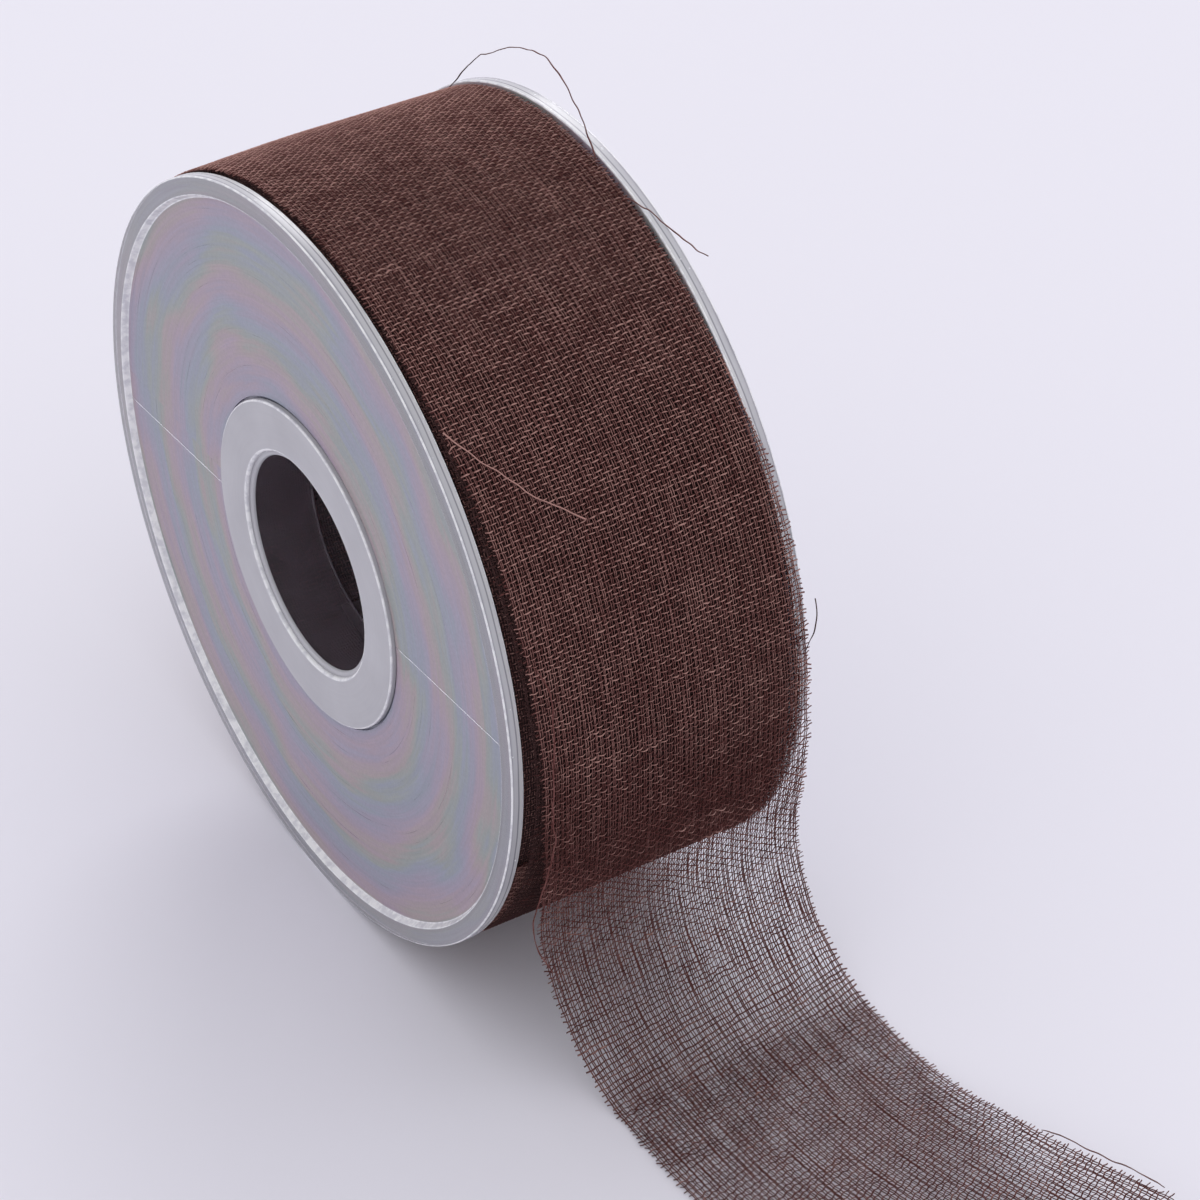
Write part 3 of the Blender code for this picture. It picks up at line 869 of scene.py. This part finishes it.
class Gauze:
    """Half-basket weave laid along a route. Warp and weft meet at one grid of crossings, where each weft
    goes over one pair of warps and under the next. A crossing's place is even, plus smooth random drift.
    """

    def __init__(self, route, stir=1.0, shade=0.0):
        pitch = WEFT_PITCH + (TAIL_WEFT_PITCH - WEFT_PITCH) * route.slackened
        counted = np.concatenate([[0.0], np.cumsum(np.diff(route.run) / pitch[1:])])
        self.wefts = int(counted[-1])
        self.even_place = np.interp(np.arange(self.wefts) + 0.5, counted, route.run)
        grid = (WARP_COUNT, self.wefts)
        warp = np.arange(WARP_COUNT)[:, None]
        weft = np.arange(self.wefts)[None]
        warp_step = (RIBBON_WIDTH - 2 * SELVEDGE) / (WARP_COUNT - 1)
        slackened = np.interp(self.even_place, route.run, route.slackened)
        pull = PAIR_PULL * (1.0 + TAIL_PAIRING * slackened)
        stir = stir + TAIL_STIR * slackened
        across = (warp - (WARP_COUNT - 1) / 2) * warp_step + pull * np.where(warp % 2, -1, 1)
        across = across + drift(grid, *WARP_JOSTLE) + stir * drift(grid, *WARP_WANDER)
        skew = WEFT_SKEW + (TAIL_WEFT_SKEW - WEFT_SKEW) * slackened
        along = self.even_place - skew * across + WEFT_PAIR_PULL * np.where(weft % 2, -1, 1)
        along = along + drift(grid, *WEFT_JOSTLE) + stir * drift(grid, *WEFT_WANDER)
        over = np.where((warp // 2 + weft) % 2, 1.0, -1.0)
        outwards = np.linspace(1.0, 1.0 / FRAY_STEPS, FRAY_STEPS)[:, None]
        near = rng.uniform(*NEAR_FRAY, self.wefts) * outwards
        far = rng.uniform(*FAR_FRAY, self.wefts) * outwards[::-1]
        lean = FRAY_LEAN * rng.standard_normal((2, self.wefts))
        still = np.zeros((FRAY_STEPS, self.wefts))
        weft_across = np.vstack([across[:1] - near, across, across[-1:] + far])
        near_along, far_along = along[:1] + lean[:1] * outwards, along[-1:] + lean[1:] * outwards[::-1]
        weft_along = np.vstack([near_along, along, far_along])
        weft_over = np.vstack([still, -over, still])
        onwards = np.linspace(1.0 / FRAY_STEPS, 1.0, FRAY_STEPS)[None]
        end = rng.uniform(*END_FRAY, WARP_COUNT)[:, None] * onwards
        stray = END_STRAY * rng.standard_normal((WARP_COUNT, 1)) * onwards
        warp_across = np.hstack([across, across[:, -1:] + stray])
        warp_along = np.hstack([along, along[:, -1:] + end])
        warp_over = np.hstack([over, np.zeros((WARP_COUNT, FRAY_STEPS))])
        slack = drift((WARP_COUNT + 2 * FRAY_STEPS, self.wefts + FRAY_STEPS), *SLACK)
        weft_set = weft_along, weft_across, weft_over, slack[:, : self.wefts]
        warp_set = warp_along, warp_across, warp_over, slack[FRAY_STEPS:-FRAY_STEPS]
        self.weft = self.threads(route, shade, [part.T for part in weft_set], *WEFT_YARN)
        self.warp = self.threads(route, shade + WARP_SHADE, warp_set, *WARP_YARN)

    @staticmethod
    def threads(route, shade, laid, radius, rise, slubs, painted_crown_light):
        """Paths, normals, girth and tone of one set of threads, each thread a row.

        Between the discs the threads' ends stop at the discs, and come out over the rims little by little
        as the ribbon rises. On the table they stay above it. A thread gets painted light on its crowns,
        where it crosses over another, and painted shade in its dips, most of all where the ribbon faces up.
        Where the ribbon hangs or stands upright the painted crown light fades, and the shade argument and
        the hanging stretch darken the tone with painted shade.
        """
        along, across, over, slack = laid
        normal = route.normal(along, across)
        path = route.place(along, across) + normal * (rise * over + slack)[..., None]
        above_rim = np.hypot(path[..., 0], path[..., 2]) - DISC_RADIUS - YARN_REST
        room = inner_face - YARN_REST + EDGE_FLARE * smooth_step(above_rim, 0.0, FLARE_RISE)
        held = np.clip(path[..., 1], -room, room)
        path[..., 1] = np.where(above_rim < FLARE_RISE, held, path[..., 1])
        path[..., 2] = np.maximum(path[..., 2], YARN_REST - disc_radius)
        girth, tone = spun_yarn(over.shape, radius, slubs)
        # Painted crown light, cut where the ribbon hangs or stands upright, and painted shade on the
        # hanging stretch
        hanging = np.clip(2.0 * np.interp(along, route.run, route.slackened) - 1.0, 0.0, 1.0)
        upright = 1.0 - smooth_step(normal[..., 2], *FACING_UP)
        painted_crown_light = painted_crown_light * (1.0 - TAIL_CROWN_LOSS * hanging) * (1.0 - UPRIGHT_CROWN_LOSS * upright)
        tone = tone + painted_crown_light * over - shade - TAIL_SHADE * hanging
        return path, normal, girth, tone

    def pieces(self, name, first, last, count):
        """Meshes of even stretches between two wefts, and the wefts at which they are cut.

        The warps run on to the next stretch, and at the ribbon's end through their fray.
        """
        cuts = np.linspace(first, last, count + 1).astype(int)
        made = []
        for number, (start, stop) in enumerate(zip(cuts[:-1], cuts[1:]), 1):
            warp_stop = stop + (1 if stop < self.wefts else FRAY_STEPS)
            wefts = [part[start:stop] for part in self.weft]
            warps = [part[:, start:warp_stop] for part in self.warp]
            made.append(yarn_piece(f"{name}_{number}", [wefts, warps]))
        return made, cuts


def spun_threads(paths, normals, girth, sides):
    """Closed tubes along paths: a ring is its path's point plus girth times (cos a up + sin a sideways),
    pressed a little flat. Returns the points by thread, step and corner, the sides' and the end faces.
    """
    threads, steps = paths.shape[:2]
    tangent = unit(np.gradient(paths, axis=1))
    sideways = unit(np.cross(tangent, normals))
    up = YARN_FLATNESS * np.cross(sideways, tangent)
    corner = np.arange(sides)
    angle = corner * math.tau / sides
    ring = np.cos(angle)[:, None] * up[:, :, None] + np.sin(angle)[:, None] * sideways[:, :, None]
    points = paths[:, :, None] + girth[:, :, None, None] * ring
    rings = np.arange(threads * steps).reshape(threads, steps)
    quads = ring_quads(rings[:, :-1].ravel(), rings[:, 1:].ravel(), sides)
    ends = np.vstack([rings[:, :1] * sides + corner[::-1], rings[:, -1:] * sides + corner])
    return points.reshape(-1, 3), quads, ends


def unrolled(threads, steps, sides):
    """Flat map of tubes: each has an upright strip of its own, a column to a side, with its ends above and
    below. Returns the corners of the sides' and of the end faces, each from 0 to 1.
    """
    thread, step, side = np.indices((threads, steps - 1, sides))
    u = (thread[..., None] + (side[..., None] + np.array([0, 1, 1, 0])) / sides) / threads
    v = END_MARGIN + (1 - 2 * END_MARGIN) * (step[..., None] + np.array([0, 0, 1, 1])) / (steps - 1)
    angle = np.arange(sides) * math.tau / sides
    end_u = np.tile((np.arange(threads)[:, None] + 0.5 + END_FACE_SIZE * np.cos(angle)) / threads, (2, 1))
    end_v = np.repeat([0.5 * END_MARGIN, 1 - 0.5 * END_MARGIN], threads)[:, None]
    end_v = end_v + END_FACE_SIZE * END_MARGIN * np.sin(angle)
    return np.stack([u, v], axis=-1).reshape(-1, 2), np.stack([end_u, end_v], axis=-1).reshape(-1, 2)


def yarn_piece(name, sets, sides=YARN_SIDES):
    """One mesh of several sets of threads, with each thread's tone kept on its points.

    A thread gets painted light along its top and painted shade along the creases at its sides.
    """
    # Painted light along a thread's top and painted shade along its side creases
    painted_crease_shade = CREASE_SHADE * np.cos(np.arange(sides) * math.tau / sides)
    rows, before = [], 0
    for number, (path, normal, girth, tone) in enumerate(sets):
        points, quads, ends = spun_threads(path, normal, girth, sides)
        maps = [(part + (number, 0)) / (len(sets), 1) for part in unrolled(*path.shape[:2], sides)]
        rows.append((points, quads + before, ends + before, (tone[..., None] + painted_crease_shade).ravel(), *maps))
        before += len(points)
    points, quads, ends, tones_with_painted_shading, side_map, end_map = (np.concatenate(column) for column in zip(*rows))
    piece = put_mesh(name, points, quads, [gauze_yarn], [ends])
    flat_map = piece.data.uv_layers.new(name="OFBake")
    flat_map.data.foreach_set("uv", np.vstack([side_map, end_map]).astype(np.float32).ravel())
    shade = piece.data.attributes.new("yarn_tone_with_painted_shading", "FLOAT", "POINT")
    shade.data.foreach_set("value", tones_with_painted_shading.astype(np.float32))
    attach(piece, "ribbon_lead")
    return piece


def yarn_finish():
    """Matt spun yarn: brown, each thread its own shade, with fibres that catch a little light, and the
    painted light and shade that its tone carries.
    """
    material, tree, place = finish_of("gauze_yarn")
    tone = add(tree, "Attribute", attribute_name="yarn_tone_with_painted_shading").outputs["Fac"]
    fibre = noise(tree, place, 12000.0, 2.0)
    shade = maths(tree, "MULTIPLY_ADD", fibre, 0.5, maths(tree, "SUBTRACT", tone, 0.25))
    browns = (0.0, SHADED_BROWN), (0.07, FINE_YARN_BROWN), (0.5, YARN_BROWN), (0.9, LIGHT_BROWN)
    return finished(
        material,
        Base_Color=ramp(tree, shade, *browns),
        Roughness=between(tree, fibre, 0.8, 0.95),
        Specular_IOR_Level=0.05,
        Sheen_Weight=0.15,
        Sheen_Roughness=0.45,
        Sheen_Tint=(*SHEEN_BROWN, 1.0),
        Normal=bump(tree, fibre, 0.03 * MM),
    )


gauze_yarn = yarn_finish()
turn_angles = spread_angles(TURN_START_ANGLE, TURN_LEAVE_ANGLE)
turn_drift = SIDE_DRIFT * smooth_step(-turn_angles, -TURN_OVER_RIM_ANGLE, -SIDE_DRIFT_END_ANGLE)
turn_points = round_line(turn_angles, turn_radius(turn_angles), turn_drift)
turn_length = run_along(turn_points)[-1]
far_edge_radius = winding_radius + UNDER_ON_WINDING + UNDER_DEPTH
turn_dip = np.maximum(turn_radius(turn_angles) - far_edge_radius, 0.0)
turn_dip = turn_dip * smooth_step(turn_angles, *FAR_EDGE_ANGLES)
top = turn_points[-1, 2]
drop = top - TAIL_ON_TABLE
hang = [(DISC_RADIUS + off * MM, shift * MM, top - share * drop) for share, off, shift in TAIL_HANG]
lay = [(DISC_RADIUS + run * MM, shift * MM, TAIL_ON_TABLE) for run, shift in TAIL_LAY]
tail_line = smooth_route([turn_points[-1], *hang, *lay], ROUTE_STEP)
tail_line[:, 2] = np.maximum(tail_line[:, 2], TAIL_ON_TABLE)
ribbon_line = np.vstack([turn_points[:-1], tail_line])
on_table = (ribbon_line[:, 2] < TAIL_ON_TABLE + RIBBON_THICKNESS) & (ribbon_line[:, 0] > DISC_RADIUS)
lay_run = np.where(on_table, ribbon_line[:, 0] - DISC_RADIUS, 0.0)
lift_share = np.clip((lay_run - TAIL_LIFT_RUN[0]) / (TAIL_LIFT_RUN[1] - TAIL_LIFT_RUN[0]), 0.0, None)
lead_route = Route(
    ribbon_line,
    np.radians(TAIL_TURN_ANGLE) * smooth_step(lay_run, *TAIL_TURN_RUN),
    TAIL_EDGE_LIFT * lift_share**TAIL_LIFT_POWER,
    smooth_step(run_along(ribbon_line) - turn_length, -SLACKENING_RUN, SLACKENING_RUN),
    np.concatenate([turn_dip[:-1], np.zeros(len(tail_line))]),
)
lead = Gauze(lead_route)
under_angles = spread_angles(UNDER_START_ANGLE, UNDER_END_ANGLE)
under_line = round_line(under_angles, under_radius(under_angles))
under_dip = under_radius(under_angles) - winding_radius - UNDER_ON_WINDING
under_dip = under_dip * smooth_step(under_angles, *FAR_EDGE_ANGLES)
# The turn beneath is darkened with painted shade, as it lies in the shade of the outer turn.
under = Gauze(Route(under_line, dip=under_dip), UNDER_STIR, UNDER_SHADE)

TURN_STRETCHES = 4
UNDER_STRETCHES = 3
turn_wefts = int(np.searchsorted(lead.even_place, turn_length))
turn_pieces, turn_cuts = lead.pieces("outer_turn_gauze", 0, turn_wefts, TURN_STRETCHES)
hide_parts("ribbon_outer_turn")
under_pieces, under_cuts = under.pieces("under_turn_gauze", 0, under.wefts, UNDER_STRETCHES)

# Ribbon tail: the free end of the same gauze. It hangs from the front of the spool, bends out on the
# table and runs on, its far edge lifting from the table. Its cut end is frayed.
TAIL_STRETCHES = 2
tail_pieces, tail_cuts = lead.pieces("tail_gauze", turn_wefts, lead.wefts, TAIL_STRETCHES)
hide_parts("ribbon_tail")

# Loose yarns: single threads worked out of the ribbon's cut edges. One stands in a bow over the far rim,
# and the others stick out, lie across the winding or hang in front of it.
LOOSE_STEP = 0.4 * MM
LOOSE_SIDES = 5
LOOSE_CRIMP = (1.0, 3.0), 0.06 * MM
LOOSE_ACROSS = (0.3, 0.9, 0.2)
LYING_HEIGHT = 0.42 * MM
FREE_LIGHTNESS = -0.3
LYING_LIGHTNESS = 0.4
BOW = (
    (-30.8, 19.3, 43.8), (-26.7, 20.6, 49.9), (-21.3, 20.8, 54.3), (-14.2, 20.8, 58.9), (-7.3, 20.8, 60.7),
    (-4.4, 20.8, 60.0), (-1.9, 20.8, 58.5), (0.5, 20.8, 56.8), (3.0, 20.6, 54.9), (5.4, 20.1, 53.3),
)
WHISKER = (
    (13.6, 19.5, 51.9), (16.3, 20.3, 52.2), (19.0, 20.4, 52.3),
    (23.3, 20.3, 52.7), (28.0, 20.2, 53.2), (32.2, 20.2, 53.9),
)
HANGING = (
    (53.6, -18.1, 18.6), (56.8, -18.3, 17.2), (57.7, -18.3, 10.8), (57.6, -18.3, 0.0), (57.5, -18.4, -9.5),
    (56.9, -19.8, -16.0), (56.6, -20.8, -20.5), (57.0, -20.0, -26.0), (57.8, -18.5, -29.3),
)
TAIL_STRAY = (
    (98.5, 31.0, -49.3), (102.5, 32.4, -48.4), (107.1, 33.9, -48.0),
    (111.9, 36.0, -47.8), (116.5, 37.3, -47.6),
)
FAR_TIP = ((56.0, 20.6, 6.5), (56.6, 21.2, 9.5), (56.3, 21.7, 12.0), (55.6, 22.0, 14.2))
# The one on the winding: angle up from the front, place across the ribbon
LYING = ((51.7, -19.6), (47.9, -17.4), (44.2, -14.6), (39.3, -10.8), (36.5, -7.5), (34.8, -5.9))


def loose_yarn(points, lightness):
    """A crimped thread through points: a smooth route shaken a little from side to side."""
    path = smooth_route(points, LOOSE_STEP)
    shake = [drift((1, len(path)), *LOOSE_CRIMP)[0] for _ in range(3)]
    path = (path + np.stack(shake, axis=1))[None]
    tangent = unit(np.gradient(path, axis=1))
    normal = unit(np.cross(tangent, LOOSE_ACROSS))
    girth, tone = spun_yarn(path.shape[:2], WARP_YARN[0], 0.0)
    return path, normal, girth, tone + lightness


lying_angle, lying_across = np.array(LYING).T
lying = round_line(lying_angle, turn_radius(lying_angle) + LYING_HEIGHT, lying_across * MM)
loose_routes = [np.array(points) * MM for points in (BOW, WHISKER, HANGING, TAIL_STRAY, FAR_TIP)]
loose_sets = [loose_yarn(points, FREE_LIGHTNESS) for points in loose_routes]
loose_sets.append(loose_yarn(lying, LYING_LIGHTNESS))
loose_yarns = yarn_piece("loose_yarns", loose_sets, LOOSE_SIDES)

# Stage: a pale table under the spool, with even light all round. A broad, distant lamp behind the spool
# picks out the weave along its top.
TABLE_HALF = 3.0
TABLE_COLOUR = (0.82, 0.806, 0.88)
BACKDROP_COLOUR = (0.83, 0.815, 0.89)
LIGHT_COLOUR = (0.98, 0.975, 1.0)
LAMP_SIDE = Vector((-1.6, 1.2, 0.95))
LAMP_SPREAD = 32.0
LAMP_STRENGTH = 1.0
AMBIENT = 0.90


def aim(thing, side):
    """Turns a lamp or camera to look from a side towards the spool."""
    thing.rotation_mode = "QUATERNION"
    thing.rotation_quaternion = (-side).to_track_quat("-Z", "Y")


pale_table, _, _ = finish_of("pale_table")
finished(pale_table, Base_Color=(*TABLE_COLOUR, 1.0), Roughness=0.9, Specular_IOR_Level=0.1)
corners = [(x * TABLE_HALF, y * TABLE_HALF, -disc_radius) for x, y in ((-1, -1), (1, -1), (1, 1), (-1, 1))]
table = put_mesh("table", corners, [[0, 1, 2, 3]], [pale_table])

lamp = bpy.data.lights.new("back_lamp", "SUN")
lamp.angle = math.radians(LAMP_SPREAD)
lamp.energy = LAMP_STRENGTH
lamp.color = LIGHT_COLOUR
aim(put("back_lamp", lamp), LAMP_SIDE)

world = bpy.data.worlds.new("even_light")
world.use_nodes = True
sky = world.node_tree
rays = add(sky, "LightPath").outputs
seen = maths(sky, "MAXIMUM", rays["Is Camera Ray"], rays["Is Glossy Ray"])
seen = maths(sky, "MAXIMUM", seen, rays["Is Transmission Ray"])
ambient = add(sky, "Background", {"Color": (*LIGHT_COLOUR, 1.0), "Strength": AMBIENT})
backdrop = add(sky, "Background", {"Color": (*BACKDROP_COLOUR, 1.0), "Strength": 1.0})
shown = add(sky, "MixShader", {0: seen, 1: ambient.outputs[0], 2: backdrop.outputs[0]})
sky.links.new(shown.outputs[0], sky.nodes["World Output"].inputs["Surface"])
scene.world = world

# Camera: above and in front of the spool and to its near side, as the photograph was taken, with a long
# lens. Its place and angles were fitted to the rims, the bore and the ribbon's edges.
CAMERA_LENS = 154.0
SENSOR_WIDTH = 36.0
CAMERA_AZIMUTH = 58.30
CAMERA_ELEVATION = 39.275
CAMERA_PLACE = Vector((471.13, -266.84, 427.10)) * MM
CAMERA_CLIP = (0.01, 50.0)
camera_data = bpy.data.cameras.new("camera")
camera_data.lens = CAMERA_LENS
camera_data.sensor_width = SENSOR_WIDTH
camera_data.clip_start, camera_data.clip_end = CAMERA_CLIP
azimuth, elevation = math.radians(CAMERA_AZIMUTH), math.radians(CAMERA_ELEVATION)
level = math.cos(elevation)
camera = put("camera", camera_data)
camera.location = CAMERA_PLACE
aim(camera, Vector((math.sin(azimuth) * level, -math.cos(azimuth) * level, math.sin(elevation))))
scene.camera = camera
scene.view_settings.view_transform = "Standard"
